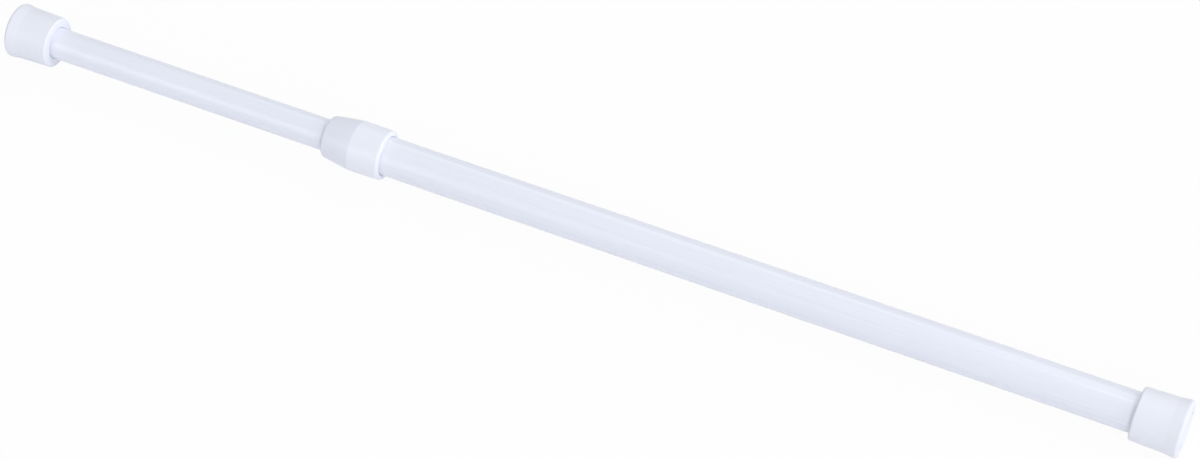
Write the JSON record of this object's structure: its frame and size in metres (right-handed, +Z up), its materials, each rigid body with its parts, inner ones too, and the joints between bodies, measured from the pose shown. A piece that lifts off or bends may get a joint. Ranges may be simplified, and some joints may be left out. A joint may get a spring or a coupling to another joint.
{
  "type": "spring tension rod",
  "caption": "Telescoping spring tension rod: a slim tube slides in a wider one through a bullet-nosed collar, with a twist lock inside and soft caps that press on facing walls.",
  "frame": {"origin": "middle of the outer end cap's wall face", "axes": "+X along the rod, out of the outer end cap into its wall; +Z up"},
  "size_m": [0.499, 0.0226, 0.0226],
  "materials": {
    "tube_paint": "smooth white baked paint, soft gloss",
    "cap_rubber": "soft white moulded rubber, satin",
    "collar_plastic": "white moulded plastic, soft gloss",
    "lock_nylon": "natural nylon",
    "sleeve_plastic": "black moulded plastic",
    "spring_steel": "zinc-plated steel"
  },
  "bodies": {
    "outer": {"outer_tube": "tube_paint", "outer_end_cap": "cap_rubber", "collar": "collar_plastic"},
    "sleeve": {"split_sleeve": "sleeve_plastic"},
    "cone": {"cone_nut": "lock_nylon"},
    "spindle": {"lock_spindle": "lock_nylon", "retaining_clip": "spring_steel", "tail_washer": "spring_steel", "tail_screw": "spring_steel"},
    "inner": {"inner_tube": "tube_paint", "inner_end_cap": "cap_rubber", "guide_bush": "lock_nylon", "spring_stop": "lock_nylon", "compression_spring": "spring_steel"}
  },
  "joints": [
    {"name": "length_adjust", "type": "slide", "parent": "outer", "child": "sleeve", "axis": [-1, 0, 0], "range_m": [-0.092, 0.13]},
    {"name": "twist_lock", "type": "hinge", "parent": "sleeve", "child": "spindle", "pos_m": [-0.132, 0, 0], "axis": [1, 0, 0], "range_deg": [0, 540]},
    {"name": "cone_travel", "type": "slide", "parent": "sleeve", "child": "cone", "axis": [1, 0, 0], "range_m": [0, 0.006]},
    {"name": "spring_stroke", "type": "slide", "parent": "spindle", "child": "inner", "axis": [1, 0, 0], "range_m": [0, 0.028], "stiffness_N_per_m": 1650, "springref_m": -0.008, "deforming": ["compression_spring"]}
  ],
  "couplings": [
    {"joint": "cone_travel", "follows": "twist_lock", "m_per_rad": 0.0006366}
  ]
}
